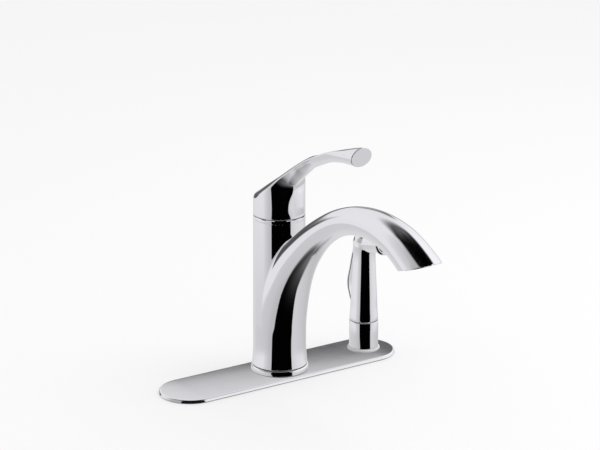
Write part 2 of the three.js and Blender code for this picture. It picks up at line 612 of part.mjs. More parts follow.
function triggerLever() {
  const outline = splineShape(TRIGGER_BACK, TRIGGER_FRONT);
  outline.lineTo(2, 114.5);
  outline.lineTo(2, 120);
  const blade = sideExtrude(outline, SPRAY_X - TRIGGER.width / 2, SPRAY_X + TRIGGER.width / 2);
  const pinHole = rodBetween(v3(SPRAY_X - 12, TRIGGER.hingeY, TRIGGER.hingeZ),
    v3(SPRAY_X + 12, TRIGGER.hingeY, TRIGGER.hingeZ), 1.6, 14);
  return cut(blade, pinHole);
}

function nozzleFaceDisc() {
  return cut(revolveAbout(nozzleFace, nozzleAxis,
    [[0, -3.4], [8, -3.4], [8, -0.9], [7.2, -0.4], [0, -0.4]], 20),
  ...ringOfHoles(nozzleFace, nozzleAxis, 0, 1, 0.6), ...ringOfHoles(nozzleFace, nozzleAxis, 5.2, 6, 0.6));
}

class SpringCurve extends THREE.Curve {
  getPoint(t, target = v3()) {
    const turns = 4;
    const angle = t * turns * 2 * Math.PI;
    const [start, length, radius] = [-0.6, 4.6, 2.2];
    return target.set(SPRAY_X + radius * Math.cos(angle), start + length * t,
      88 + radius * Math.sin(angle));
  }
}

function buildSpray() {
  const spray = group('spray');
  addPiece(spray, 'spray_hose_connector', revolve([
    [3.2, -34], [5.2, -34], [5.2, 6], [10.9, 8], [10.9, 32.6], [8.8, 34.8], [8.8, 45.6], [3.2, 45.6]],
  18, SPRAY_X), brass());

  const wand = group('wand', spray);
  addPiece(wand, 'spray_wand', wandBody(), chrome());
  addPiece(wand, 'spray_flange', revolveAbout(nozzleFace, nozzleAxis, [
    [8.4, -5.6], [9.8, -5.6], [NOZZLE.flange, -4.4], [NOZZLE.flange, -1.6], [NOZZLE.flange - 0.9, -0.4],
    [8.4, -0.4]], 24), chrome());
  addPiece(wand, 'spray_face', nozzleFaceDisc(), darkPlastic());
  addPiece(wand, 'trigger_pin', rodBetween(v3(SPRAY_X - 9.6, TRIGGER.hingeY, TRIGGER.hingeZ),
    v3(SPRAY_X + 9.6, TRIGGER.hingeY, TRIGGER.hingeZ), 1.25, 12), steel());
  addPiece(wand, 'valve_spring', solid(new THREE.ExtrudeGeometry(polygon(4, 0.7), {
    steps: 24, bevelEnabled: false, extrudePath: new SpringCurve() })), steel());
  addPiece(wand, 'valve_plunger', join(
    rodBetween(v3(SPRAY_X, -3, 88), v3(SPRAY_X, 13.6, 88), 1.3, 14),
    rodBetween(v3(SPRAY_X, 6.6, 88), v3(SPRAY_X, 8.2, 88), 2.6, 14)), brass());
  addPiece(wand, 'spray_trigger', triggerLever(), chrome());
}

buildDeck();
buildValve();
buildSpout();
buildHandle();
buildHolder();
buildSpray();

export default faucet;
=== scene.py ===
import json
import math

import bpy
import numpy as np
from mathutils import Matrix, Vector

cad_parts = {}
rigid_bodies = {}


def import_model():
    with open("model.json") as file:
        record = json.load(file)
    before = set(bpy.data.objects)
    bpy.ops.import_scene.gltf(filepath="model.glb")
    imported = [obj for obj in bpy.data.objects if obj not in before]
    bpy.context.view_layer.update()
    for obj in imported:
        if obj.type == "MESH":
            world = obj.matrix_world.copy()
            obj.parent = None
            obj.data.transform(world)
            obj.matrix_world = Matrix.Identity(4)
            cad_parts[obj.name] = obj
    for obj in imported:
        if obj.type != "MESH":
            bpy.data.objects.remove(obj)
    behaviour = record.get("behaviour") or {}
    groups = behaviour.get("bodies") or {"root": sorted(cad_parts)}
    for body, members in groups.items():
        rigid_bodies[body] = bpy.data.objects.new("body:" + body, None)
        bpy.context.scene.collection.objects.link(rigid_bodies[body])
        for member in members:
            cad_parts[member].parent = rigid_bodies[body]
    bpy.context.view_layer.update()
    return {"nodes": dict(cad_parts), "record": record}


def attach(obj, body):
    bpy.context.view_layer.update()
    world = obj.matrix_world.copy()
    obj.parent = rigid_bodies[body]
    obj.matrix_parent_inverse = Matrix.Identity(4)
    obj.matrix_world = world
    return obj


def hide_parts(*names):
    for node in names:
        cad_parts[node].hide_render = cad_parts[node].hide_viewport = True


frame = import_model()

MM = 0.001

# ---------------------------------------------------------------- real sizes in millimetres
SPRAY_X = 101.6
PIVOT_Z = 168.4
SEAM = 161.4
DISH_RADIUS = 26.25
# the cast body runs from the dark ring at its foot (painted shade of the seam there) to just under its
# turned rim
BODY_FOOT = 10.3
BODY_TOP_DROP = 1.2
# above this height the arm only starts in front of the hub, this far from the axis
ARM_CUT_Z = 161.2
ARM_CUT_Y = -27
HUB_RADIUS = 25.25
HUB_FOOT = 163.6
HUB_BORE = 18
BONNET_BALL = 13.6
# spout's centre line (y, z) and its radius there
SPOUT_KNOTS = [(0, 25, 25.3), (-2, 57.5, 25.4), (-10.7, 88.7, 24), (-27, 116.8, 20.4), (-48.7, 141, 16.6),
               (-73.7, 161.8, 13.8), (-101.9, 178, 12.9), (-133, 187.2, 13.6), (-165.4, 188.7, 15.2),
               (-197.2, 182.1, 16.9), (-223.9, 167.9, 18.3), (-243, 154, 19)]
# body: z, radius
COLUMN = np.array([(8, 27.5), (10, 27.4), (13, 27), (19, 26.5), (55, 26), (110, 25.6), (170, 25.3)])
# z, and how softly the spout runs out of the body there
ARM_BLEND = np.array([(10, 1.2), (110, 1.6), (140, 4.5), (165, 4.5)])
MOUTH_TILT = math.radians(20)
MOUTH_CENTRE = np.array([0, -221.9, 167.6 - 2 * math.tan(MOUTH_TILT)])
MOUTH_NORMAL = np.array([0, -math.sin(MOUTH_TILT), -math.cos(MOUTH_TILT)])
MOUTH_RADIUS = 12.7
MOUTH_DEPTH = 8
# what lies in front of this counts as the mouth
MOUTH_FROM_Y = -170
# lever: keel (y, z), top (y, z), half-width, and how oval the section is
LEVER = np.array([
    (-16, 181, -11.8, 196, 20, 0), (-21.5, 189, -19.5, 202.9, 18, 0), (-26, 194.6, -27.3, 209.3, 16.3, 0),
    (-31.5, 199.8, -37.5, 215.9, 15.2, 0), (-38.5, 205.5, -47.6, 222, 14.5, 0),
    (-46.5, 212, -57.7, 228, 12.8, 0), (-57, 219.4, -72.6, 235.7, 9.8, 0),
    (-71.5, 226.2, -88, 242.4, 9.3, 0.1), (-88, 232.6, -104.7, 248.2, 9.7, 0.3),
    (-106, 236.3, -118.3, 252.4, 10.3, 0.6), (-121, 237.8, -129, 255.3, 11, 0.9),
    (-132.9, 238.2, -137.1, 257, 11.4, 1)])
# the lever's cut end in the side view: lowest point, the way it faces, and its length
TIP_AT = (-132.9, 238.2)
TIP_FACES = (-18.8, -4.2)
TIP_LENGTH = 19.26
# y, height of the slanted top over the middle, its crown (drop is crown times x squared), and how far
# the lever's own section reaches over its top line
TOP = np.array([(-145, 272, 0, 0), (-130, 266, 0, 0), (-118, 259, 0.01, 0), (-104.7, 251.2, 0.018, 0.4),
                (-88, 244.3, 0.021, 1.6), (-72.6, 238, 0.0235, 2.6), (-60, 232.9, 0.024, 8),
                (-49.4, 227.4, 0.0248, 8), (-31.6, 217, 0.0268, 8), (-21, 210.4, 0.027, 8),
                (-15.7, 206.9, 0.0255, 8), (-9.9, 203.2, 0.0235, 8), (-2, 198.3, 0.0213, 8),
                (14.1, 188.4, 0.0207, 8), (26, 181.2, 0.0207, 8)])
# y, and the round along the edge of the top
TOP_ROUND = np.array([(-140, 0.6), (-75, 0.9), (-30, 1.2), (30, 1.4)])
# y, and how full the flanks are: 1 is a flat flank, 2 an oval one
FLANK_FULLNESS = np.array([(-75, 1.6), (-48, 1.25)])
# z, and how far the hub's front turns towards the keel; below 0 it is blunt
PINCH = np.array([(164.8, 0), (167, -0.06), (181, -0.06), (186, 0.05), (193, 0.28), (200, 0.28)])
NOZZLE_TILT = math.radians(12)
NOZZLE_FACE = np.array([SPRAY_X, -35, 122.4])
NOZZLE_AXIS = np.array([0, -math.cos(NOZZLE_TILT), math.sin(NOZZLE_TILT)])
# spray's grip: z, radius
GRIP = np.array([(34, 13.6), (35, 14.0), (36, 14.35), (38, 14.4), (44, 13.9), (60, 13.2), (74, 12.4),
                 (86, 11.8), (98, 11.3), (108, 11.3), (114, 11.5), (119, 11), (122.5, 9.2), (125, 6.2),
                 (126.2, 2.4), (127, 0.5)])
GRIP_FOOT = 35
GRIP_TOP = 126
# spray's barrel: distance along its axis from the face, radius
BARREL = np.array([(-36, 7.6), (-34, 8.2), (-24, 8.9), (-14, 8.9), (-9, 9.15), (-5.9, 9.6), (-3, 9.7)])
BARREL_BACK = -34
BARREL_FRONT = -5.9
# the trigger's channel down the spray's back: half-width, depth (y), lower and upper end (z)
CHANNEL_HALF = 7.4
CHANNEL_Y = 4.6
CHANNEL_LOW = 43
CHANNEL_HIGH = 109
# it is deeper from here up, where the trigger hangs on its pin
SLOT_Y = 1.4
SLOT_LOW = 108
# outer and inner side of the bowed trigger: z, y
TRIGGER_BACK = np.array([(46.4, 13), (50, 14.8), (57.6, 18), (64, 20.8), (70, 21.8), (77, 20.6), (86, 17.8),
                         (96.5, 15.3), (105, 12.6), (113, 10.4), (118.6, 8.2), (123, 4.6)])
TRIGGER_FRONT = np.array([(46, 10), (47, 10.4), (56.6, 14.6), (63.4, 17.2), (70, 18.3), (77, 17.2),
                          (86, 14.6), (96.5, 12), (105, 9.2), (111, 4.6), (123, -3)])
TRIGGER_HALF = 7
TRIGGER_LOW = 46.4
TRIGGER_HIGH = 121.6
PLATE_LENGTH = 266
PLATE_WIDTH = 63

# ---------------------------------------------------------------- how finely things are made
CHUNK = 4000
LINE_POINTS = 700
STATION_COUNT = 600
CORNER_STEPS = 4
OUTLINE_POINTS = 200
# edges sharper than this many degrees stay sharp
TURNED_CREASE = 40
FLAT_CREASE = 35

# ---------------------------------------------------------------- the photograph's camera, in metres
CAMERA_AZIMUTH = -33.945
CAMERA_ELEVATION = 16.718
CAMERA_PLACE = (-1.050295, -1.596234, 0.724429)
CAMERA_LENS = 123.95


# ---------------------------------------------------------------- smooth closed surfaces
def ease(xs, ys, x):
    """Smooth curve through the points (xs, ys); ys may have several columns."""
    xs, ys = np.asarray(xs, float), np.asarray(ys, float)
    flat = ys.ndim == 1
    ys = ys[:, None] if flat else ys
    slope = np.gradient(ys, xs, axis=0)
    x = np.clip(x, xs[0], xs[-1])
    i = np.clip(np.searchsorted(xs, x, side="right") - 1, 0, len(xs) - 2)
    wide = (xs[i + 1] - xs[i])[..., None]
    t = (x - xs[i])[..., None] / wide
    value = (ys[i] * (2 * t ** 3 - 3 * t ** 2 + 1) + ys[i + 1] * (3 * t ** 2 - 2 * t ** 3)
             + wide * (slope[i] * (t ** 3 - 2 * t ** 2 + t) + slope[i + 1] * (t ** 3 - t ** 2)))
    return value[..., 0] if flat else value


def read_off(rows, at):
    """Value of a table of (position, value) rows at these positions."""
    return ease(rows[:, 0], rows[:, 1], at)


def union(a, b, width):
    """Either shape, with a soft blend of this width between them."""
    h = np.maximum(width - np.abs(a - b), 0) / width
    return np.minimum(a, b) - h ** 3 * width / 6


def common(a, b, width):
    """What two shapes share, with a soft blend of this width along the edge."""
    return -union(-a, -b, width)


def fillet(a, b, radius):
    """What two shapes share, with a round of this radius along the edge."""
    over = np.hypot(np.maximum(a + radius, 0), np.maximum(b + radius, 0))
    return np.minimum(np.maximum(a, b), -radius) + over


def axial(x, y):
    return np.sqrt(x ** 2 + y ** 2)


def from_pivot(x, y, z):
    return np.sqrt(x ** 2 + y ** 2 + (z - PIVOT_Z) ** 2)


def along_and_across(y, z, centre, axis):
    """Distances in the side view from the centre, along the axis and across it."""
    return ((y - centre[1]) * axis[1] + (z - centre[2]) * axis[2],
            (y - centre[1]) * axis[2] - (z - centre[2]) * axis[1])


def steps(start, *stretches):
    """Positions from the start on, as (end, step) pairs: fine stretches among coarse ones."""
    made = [float(start)]
    for end, step in stretches:
        count = max(1, round((end - made[-1]) / step))
        made += np.linspace(made[-1], end, count + 1)[1:].tolist()
    return np.array(made)


def nets(field, *axes):
    """Points, quads and normals of the closed surface where the field changes sign on a grid."""
    inside = field(*np.meshgrid(*axes, indexing="ij")) < 0
    size = tuple(n - 1 for n in inside.shape)
    corners = sum(inside[i:i + size[0], j:j + size[1], k:k + size[2]].astype(np.int8)
                  for i in (0, 1) for j in (0, 1) for k in (0, 1))
    mixed = (corners > 0) & (corners < 8)
    number = np.full(size, -1)
    number[mixed] = np.arange(mixed.sum())
    cells = np.argwhere(mixed)
    low = np.stack([a[c] for a, c in zip(axes, cells.T)], 1)
    high = np.stack([a[c + 1] for a, c in zip(axes, cells.T)], 1)
    points = (low + high) / 2

    def slope_at(p, reach):
        parts = []
        for axis in range(3):
            off = np.zeros(3)
            off[axis] = reach
            parts.append((field(*(p + off).T) - field(*(p - off).T)) / (2 * reach))
        return np.stack(parts, 1)

    # each point moves onto the surface, and stays near its own cell
    for _ in range(4):
        slope = slope_at(points, 0.1)
        move = field(*points.T)[:, None] * slope / np.maximum((slope ** 2).sum(1), 0.05)[:, None]
        points = points - np.clip(move, low - high, high - low)
        points = np.clip(points, 1.15 * low - 0.15 * high, 1.15 * high - 0.15 * low)
    quads = []
    for axis in range(3):
        u, v = (axis + 1) % 3, (axis + 2) % 3
        first = np.moveaxis(inside, axis, 0)[:-1]
        second = np.moveaxis(inside, axis, 0)[1:]
        for sign, hit in ((1, first & ~second), (-1, ~first & second)):
            at = np.argwhere(np.moveaxis(hit, 0, axis))
            at = at[(at[:, u] > 0) & (at[:, v] > 0) & (at[:, u] < size[u]) & (at[:, v] < size[v])]
            ring = []
            for du, dv in ((-1, -1), (0, -1), (0, 0), (-1, 0))[::sign]:
                cell = at.copy()
                cell[:, u] += du
                cell[:, v] += dv
                ring.append(number[tuple(cell.T)])
            quads.append(np.stack(ring, 1))
    slope = slope_at(points, 0.05)
    return points, np.concatenate(quads), slope / np.linalg.norm(slope, axis=1, keepdims=True)


def side_table(find, ys, zs):
    """Keeps a side-view function of (y, z) as a table, and reads it back with smooth cubics."""
    table = np.stack(find(*np.meshgrid(ys, zs, indexing="ij")), 2)

    def weights(axis, value):
        spot = np.clip((value - axis[0]) / (axis[1] - axis[0]), 1, len(axis) - 2.001)
        i = spot.astype(int)
        t = spot - i
        return i, (t * (-0.5 + t * (1 - 0.5 * t)), 1 + t * t * (-2.5 + 1.5 * t),
                   t * (0.5 + t * (2 - 1.5 * t)), t * t * (-0.5 + 0.5 * t))

    def read(y, z):
        # on a grid the side view is the same at every x
        if y.ndim == 3:
            return [np.broadcast_to(part[None], y.shape) for part in read(y[0], z[0])]
        (i, across), (j, up) = weights(ys, y), weights(zs, z)
        total = 0
        for a in range(4):
            for b in range(4):
                total = total + (across[a] * up[b])[..., None] * table[i + a - 1, j + b - 1]
        return [total[..., k] for k in range(table.shape[2])]

    return read


def add_mesh(name, points, faces, normals=None, sharp=None):
    mesh = bpy.data.meshes.new(name)
    mesh.from_pydata((np.asarray(points) * MM).tolist(), [], [list(map(int, f)) for f in faces])
    mesh.validate()
    mesh.shade_smooth()
    if normals is not None:
        mesh.normals_split_custom_set_from_vertices(normals.tolist())
    elif sharp:
        mesh.set_sharp_from_angle(angle=math.radians(sharp))
    thing = bpy.data.objects.new(name, mesh)
    bpy.context.scene.collection.objects.link(thing)
    return thing


def rounded(profile, radius):
    """The profile with each inner corner rounded; a third value at a corner gives its own radius."""
    made = [np.array(profile[0][:2], float)]
    for before, corner, after in zip(profile, profile[1:], profile[2:]):
        own = corner[2] if len(corner) > 2 else radius
        a, b, c = (np.array(p[:2], float) for p in (before, corner, after))
        to_a, to_c = a - b, c - b
        la, lc = np.linalg.norm(to_a), np.linalg.norm(to_c)
        reach = min(own, 0.45 * la, 0.45 * lc)
        start, end = b + to_a / la * reach, b + to_c / lc * reach
        for i in range(CORNER_STEPS + 1):
            t = i / CORNER_STEPS
            made.append((1 - t) ** 2 * start + 2 * t * (1 - t) * b + t ** 2 * end)
    made.append(np.array(profile[-1][:2], float))
    return made


def lathe(name, profile, origin=(0, 0, 0), axis=(0, 0, 1), segments=128):
    """A profile of (radius, distance along the axis) turned about the axis. Open ends lie on the axis."""
    axis = np.array(axis, float)
    side = np.array((1.0, 0, 0)) if abs(axis[0]) < 0.5 else np.array((0, 1.0, 0))
    across = np.cross(axis, side)
    closed = profile[0][0] > 1e-6
    turn = np.linspace(0, 2 * math.pi, segments, endpoint=False)
    ring = np.cos(turn)[:, None] * side + np.sin(turn)[:, None] * across
    points, rings = [], []
    for radius, along in profile:
        if radius < 1e-6:
            rings.append([len(points)] * segments)
            points.append(np.array(origin) + axis * along)
        else:
            rings.append(list(range(len(points), len(points) + segments)))
            points.extend(np.array(origin) + axis * along + ring * radius)
    faces = []
    pairs = list(zip(rings, rings[1:] + rings[:1]))
    for a, b in pairs if closed else pairs[:-1]:
        for i in range(segments):
            j = (i + 1) % segments
            face = [a[i], a[j], b[j], b[i]]
            face = [v for k, v in enumerate(face) if v != face[k - 1]]
            if len(face) > 2:
                faces.append(face)
    return add_mesh(name, points, faces, sharp=TURNED_CREASE)


def ring(name, section, radius, *where, **how):
    """A closed section with rounded corners, all but its first, turned about an axis."""
    return lathe(name, rounded(section + section[:1], radius)[:-1], *where, **how)


def washer(name, inner, outer, low, high, x=0):
    return lathe(name, [(inner, low), (outer, low), (outer, high), (inner, high)], (x, 0, 0))


# ---------------------------------------------------------------- materials
def new_material(name, colour, roughness, metallic=0.0, coat=0.0):
    made = bpy.data.materials.new(name)
    made.use_nodes = True
    shader = made.node_tree.nodes["Principled BSDF"]
    shader.inputs["Base Color"].default_value = (*colour, 1)
    shader.inputs["Roughness"].default_value = roughness
    shader.inputs["Metallic"].default_value = metallic
    shader.inputs["Coat Weight"].default_value = coat
    return made, made.node_tree, shader


def noise(tree, scale, detail, stretch=(1, 1, 1)):
    where = tree.nodes.new("ShaderNodeTexCoord")
    mapping = tree.nodes.new("ShaderNodeMapping")
    mapping.inputs["Scale"].default_value = stretch
    made = tree.nodes.new("ShaderNodeTexNoise")
    made.inputs["Scale"].default_value = scale
    made.inputs["Detail"].default_value = detail
    tree.links.new(where.outputs["Object"], mapping.inputs["Vector"])
    tree.links.new(mapping.outputs["Vector"], made.inputs["Vector"])
    return made.outputs["Fac"]


def vary_roughness(tree, shader, source, low, high):
    made = tree.nodes.new("ShaderNodeMapRange")
    made.inputs["From Min"].default_value = 0.3
    made.inputs["From Max"].default_value = 0.7
    made.inputs["To Min"].default_value = low
    made.inputs["To Max"].default_value = high
    tree.links.new(source, made.inputs["Value"])
    tree.links.new(made.outputs["Result"], shader.inputs["Roughness"])


def bump(tree, shader, height, distance, strength):
    made = tree.nodes.new("ShaderNodeBump")
    made.inputs["Distance"].default_value = distance
    made.inputs["Strength"].default_value = strength
    tree.links.new(height, made.inputs["Height"])
    tree.links.new(made.outputs["Normal"], shader.inputs["Normal"])


def tint(tree, shader, source, dark, light):
    ramp = tree.nodes.new("ShaderNodeValToRGB")
    ramp.color_ramp.elements[0].position = 0.3
    ramp.color_ramp.elements[0].color = (*dark, 1)
    ramp.color_ramp.elements[1].position = 0.7
    ramp.color_ramp.elements[1].color = (*light, 1)
    tree.links.new(source, ramp.inputs["Fac"])
    tree.links.new(ramp.outputs["Color"], shader.inputs["Base Color"])


def chrome_finish(name, least, most):
    """Bright plate: a mirror with faint wiping marks in its gloss."""
    made, tree, shader = new_material(name, (0.92, 0.92, 0.95), least, 1.0)
    vary_roughness(tree, shader, noise(tree, 60, 5, (1, 1, 0.25)), least, most)
    tint(tree, shader, noise(tree, 9, 3), (0.908, 0.906, 0.95), (0.928, 0.926, 0.968))
    return made


def turned_finish(name, dark, light, roughness, rings=900):
    """Machined metal: fine rings round the part, with uneven gloss."""
    made, tree, shader = new_material(name, light, roughness, 1.0)
    vary_roughness(tree, shader, noise(tree, 40, 6), roughness - 0.07, roughness + 0.1)
    tint(tree, shader, noise(tree, 25, 5), dark, light)
    bump(tree, shader, noise(tree, rings, 2, (0.02, 0.02, 1)), 0.00008, 0.5)
    return made


def plastic_finish(name, dark, light, roughness, grain=2500, depth=0.00006, coat=0.0):
    """Moulded plastic or rubber: slight mottling and a fine spark-eroded grain."""
    made, tree, shader = new_material(name, light, roughness, 0.0, coat)
    tint(tree, shader, noise(tree, 70, 4), dark, light)
    vary_roughness(tree, shader, noise(tree, 120, 5), roughness - 0.06, roughness + 0.08)
    bump(tree, shader, noise(tree, grain, 3), depth, 0.6)
    return made


SATIN = chrome_finish("satin_chrome", 0.09, 0.14)
BY_SLOT = {
    "chrome": chrome_finish("polished_chrome", 0.02, 0.05),
    "brass": turned_finish("machined_brass", (0.60, 0.42, 0.15), (0.74, 0.55, 0.24), 0.3),
    "steel": turned_finish("turned_steel", (0.52, 0.53, 0.55), (0.68, 0.69, 0.70), 0.32),
    "copper": turned_finish("drawn_copper", (0.62, 0.30, 0.18), (0.80, 0.44, 0.28), 0.28, 500),
    "rubber": plastic_finish("black_rubber", (0.012, 0.012, 0.012), (0.03, 0.03, 0.03), 0.62),
    "dark_plastic": plastic_finish("dark_plastic", (0.05, 0.052, 0.055), (0.085, 0.088, 0.092), 0.38),
    "grey_plastic": plastic_finish("grey_plastic", (0.24, 0.25, 0.26), (0.32, 0.33, 0.34), 0.42),
    "white_plastic": plastic_finish("white_plastic", (0.76, 0.76, 0.75), (0.86, 0.86, 0.85), 0.3,
                                    1500, 0.00003, 0.3),
    "ceramic": plastic_finish("lapped_ceramic", (0.78, 0.76, 0.70), (0.88, 0.86, 0.81), 0.25,
                              3000, 0.00001)}
for part in frame["record"]["subparts"]:
    node = frame["nodes"][part["node"]]
    node.data.materials.clear()
    node.data.materials.append(BY_SLOT[part["material_slot"]])


def place(thing, body, slot, *nodes, material=None):
    """Gives a new piece its finish, the body it rides on and the solids it stands for."""
    thing.data.materials.append(material or BY_SLOT[slot])
    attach(thing, body)
    if nodes:
        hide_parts(*nodes)


# ---------------------------------------------------------------- body with arched spout
def spout_line():
    """Points and radii along the centre line, a centripetal curve through the knots."""
    knots = np.array(SPOUT_KNOTS, float)
    p = np.vstack([2 * knots[0] - knots[1], knots, 2 * knots[-1] - knots[-2]])[:, :2]
    radii = knots[:, 2]
    u = np.linspace(0, len(knots) - 1, LINE_POINTS)
    i = np.minimum(u.astype(int), len(knots) - 2)
    t = (u - i)[:, None]
    gap = np.linalg.norm(np.diff(p, axis=0), axis=1) ** 0.5
    d0, d1, d2 = gap[i][:, None], gap[i + 1][:, None], gap[i + 2][:, None]
    p0, p1, p2, p3 = p[i], p[i + 1], p[i + 2], p[i + 3]
    m1 = ((p1 - p0) / d0 - (p2 - p0) / (d0 + d1) + (p2 - p1) / d1) * d1
    m2 = ((p2 - p1) / d1 - (p3 - p1) / (d1 + d2) + (p3 - p2) / d2) * d1
    line = (p1 + m1 * t + (-3 * p1 + 3 * p2 - 2 * m1 - m2) * t ** 2
            + (2 * p1 - 2 * p2 + m1 + m2) * t ** 3)
    return line, ease(np.arange(len(radii)), radii, u)


LINE, LINE_RADIUS = spout_line()
LINE_STEP = np.diff(LINE, axis=0)


def to_line(y, z):
    """Distance from the centre line in the side view, and the spout's radius there."""
    flat = np.stack([np.ravel(y), np.ravel(z)], 1)
    away, radius = np.empty(len(flat)), np.empty(len(flat))
    for a in range(0, len(flat), CHUNK):
        q = flat[a:a + CHUNK]
        i = ((q[:, None] - LINE[None]) ** 2).sum(2).argmin(1)
        best = None
        for k in (np.maximum(i - 1, 0), np.minimum(i, len(LINE_STEP) - 1)):
            step = LINE_STEP[k]
            t = np.clip(((q - LINE[k]) * step).sum(1) / (step ** 2).sum(1), 0, 1)
            d = np.linalg.norm(q - LINE[k] - step * t[:, None], axis=1)
            r = LINE_RADIUS[k] + (LINE_RADIUS[k + 1] - LINE_RADIUS[k]) * t
            best = (d, r) if best is None else (np.where(d < best[0], d, best[0]),
                                                np.where(d < best[0], r, best[1]))
        away[a:a + CHUNK], radius[a:a + CHUNK] = best
    return away.reshape(np.shape(y)), radius.reshape(np.shape(y))


side_line = side_table(to_line, np.arange(-256, 36, 1.0), np.arange(0, 214, 1.0))


def spout_field(x, y, z):
    away, radius = side_line(y, z)
    arm = np.sqrt(x ** 2 + away ** 2) - radius
    # the body ends a little under the seam, inside its turned rim
    column = common(axial(x, y) - read_off(COLUMN, z), z - SEAM + BODY_TOP_DROP, 0.3)
    # above the seam the arm starts in front of the hub
    arm = common(arm, np.minimum(z - ARM_CUT_Z, y - ARM_CUT_Y), 0.6)
    shape = union(arm, column, read_off(ARM_BLEND, z))
    # cut off at the dark ring at its foot (painted shade of the seam), and hollowed by the dish under the
    # hub
    shape = common(shape, BODY_FOOT - z, 0.8)
    shape = common(shape, DISH_RADIUS - from_pivot(x, y, z), 0.3)
    # the mouth, with its recess for the aerator
    along, across = along_and_across(y, z, MOUTH_CENTRE, MOUTH_NORMAL)
    shape = common(shape, np.minimum(along, MOUTH_FROM_Y - y), 1.0)
    recess = np.maximum(np.sqrt(x ** 2 + across ** 2) - MOUTH_RADIUS, -MOUTH_DEPTH - along)
    return common(shape, -np.maximum(recess, y - MOUTH_FROM_Y), 0.6)


# ---------------------------------------------------------------- handle
STATIONS = ease(np.arange(len(LEVER)), LEVER, np.linspace(0, len(LEVER) - 1, STATION_COUNT))


def to_station(y, z):
    """Where a point of the side view lies: share from keel to top, half-width, height, ovalness."""
    flat = np.stack([np.ravel(y), np.ravel(z)], 1)
    keel, rise = STATIONS[:, :2], STATIONS[:, 2:4] - STATIONS[:, :2]
    height = np.linalg.norm(rise, axis=1)
    out = np.empty((len(flat), 4))
    for a in range(0, len(flat), CHUNK):
        d = flat[a:a + CHUNK, None] - keel[None]
        side = (rise[:, 0] * d[..., 1] - rise[:, 1] * d[..., 0]) / height
        share = (rise * d).sum(2) / height ** 2
        # the nearest station, unless the point lies far beyond that station's keel or top
        cost = np.abs(side) + 60 * (np.maximum(-0.4 - share, 0) + np.maximum(share - 1.5, 0))
        i = np.clip(cost.argmin(1), 1, STATION_COUNT - 2)
        row = np.arange(len(i))
        before, after = side[row, i - 1], side[row, i + 1]
        t = np.clip(before / np.where(np.abs(before - after) < 1e-9, 1e-9, before - after), 0, 1)
        spot = i - 1 + 2 * t
        low = np.minimum(spot.astype(int), STATION_COUNT - 2)
        part = (spot - low)[:, None]
        s = STATIONS[low] * (1 - part) + STATIONS[low + 1] * part
        up = s[:, 2:4] - s[:, :2]
        tall = np.linalg.norm(up, axis=1)
        share = ((flat[a:a + CHUNK] - s[:, :2]) * up).sum(1) / tall ** 2
        out[a:a + CHUNK] = np.stack([share, s[:, 4], tall, s[:, 5]], 1)
    return [out[:, k].reshape(np.shape(y)) for k in range(4)]


side_stations = side_table(to_station, np.arange(-147, 33, 0.8), np.arange(155, 266, 0.8))


def lever_field(x, y, z, lift, edge):
    share, half, tall, oval = side_stations(y, z)
    wide = np.abs(x) / half
    # near the hub the flanks are flatter and meet in a sharper keel
    power = read_off(FLANK_FULLNESS, y)
    flank = (wide ** power + np.maximum(1 - share, 0) ** power + 1e-9) ** (1 / power)
    size = np.minimum(half, tall)
    keeled = fillet((flank - 1) * size, (share - 1) * tall - lift, edge)
    egg = (np.sqrt(wide ** 2 + ((share - 0.5) / 0.5) ** 2) - 1) * size
    lever = keeled + (egg - keeled) * oval
    # the lever starts inside the hub
    first = STATIONS[0]
    back = ((y - first[0]) * (first[3] - first[1]) - (z - first[1]) * (first[2] - first[0]))
    return np.maximum(lever, back / math.hypot(first[2] - first[0], first[3] - first[1]))


def handle_field(x, y, z):
    crest, crown, lift = np.moveaxis(ease(TOP[:, 0], TOP[:, 1:], y), -1, 0)
    edge = read_off(TOP_ROUND, y)
    lever = lever_field(x, y, z, lift, edge)
    # the hub's round front is a little blunt, and pinches towards the lever's keel higher up
    pinch = read_off(PINCH, z) * np.clip(-y / 12, 0, 1)
    hub = axial(x, y) - HUB_RADIUS
    hub = hub + pinch * (np.sqrt(x ** 2 + 1.5) - 1.2) * np.exp(-(x / 13) ** 4)
    # one slanted, crowned top cuts hub and lever; 0.8 stands for its slope
    top = (z - crest + crown * x ** 2) * 0.8 / np.sqrt(1 + (1.6 * crown * x) ** 2)
    shape = fillet(union(hub, lever, 5), top, edge)
    tip = ((y - TIP_AT[0]) * TIP_FACES[0] + (z - TIP_AT[1]) * TIP_FACES[1]) / TIP_LENGTH
    shape = common(shape, tip, 0.9)
    shape = common(shape, HUB_FOOT - z, 0.3)
    # open inside, round the bonnet and the stem
    hollow = np.minimum(np.maximum(axial(x, y) - HUB_BORE, z - PIVOT_Z - 1),
                        from_pivot(x, y, z) - BONNET_BALL)
    return np.maximum(shape, -hollow)


# ---------------------------------------------------------------- side spray
def wand_field(x, y, z):
    sx = x - SPRAY_X
    grip = common(axial(sx, y) - read_off(GRIP, z), z - GRIP_TOP, 2)
    along, across = along_and_across(y, z, NOZZLE_FACE, NOZZLE_AXIS)
    barrel = np.sqrt(sx ** 2 + across ** 2) - read_off(BARREL, along)
    barrel = common(barrel, BARREL_BACK - along, 3)
    shape = union(grip, barrel, 1.8)
    # cut off behind the nozzle's rim and above the holder
    shape = common(shape, along - BARREL_FRONT, 0.6)
    shape = common(shape, GRIP_FOOT - z, 0.6)
    # channel for the trigger down the back, and the deeper slot above it
    beside = np.abs(sx) - CHANNEL_HALF
    channel = common(common(beside, CHANNEL_Y - y, 0.6), CHANNEL_LOW - z, 1.5)
    channel = np.maximum(channel, z - CHANNEL_HIGH)
    slot = np.maximum(common(beside, SLOT_Y - y, 0.6), SLOT_LOW - z)
    return common(shape, -np.minimum(channel, slot), 0.6)


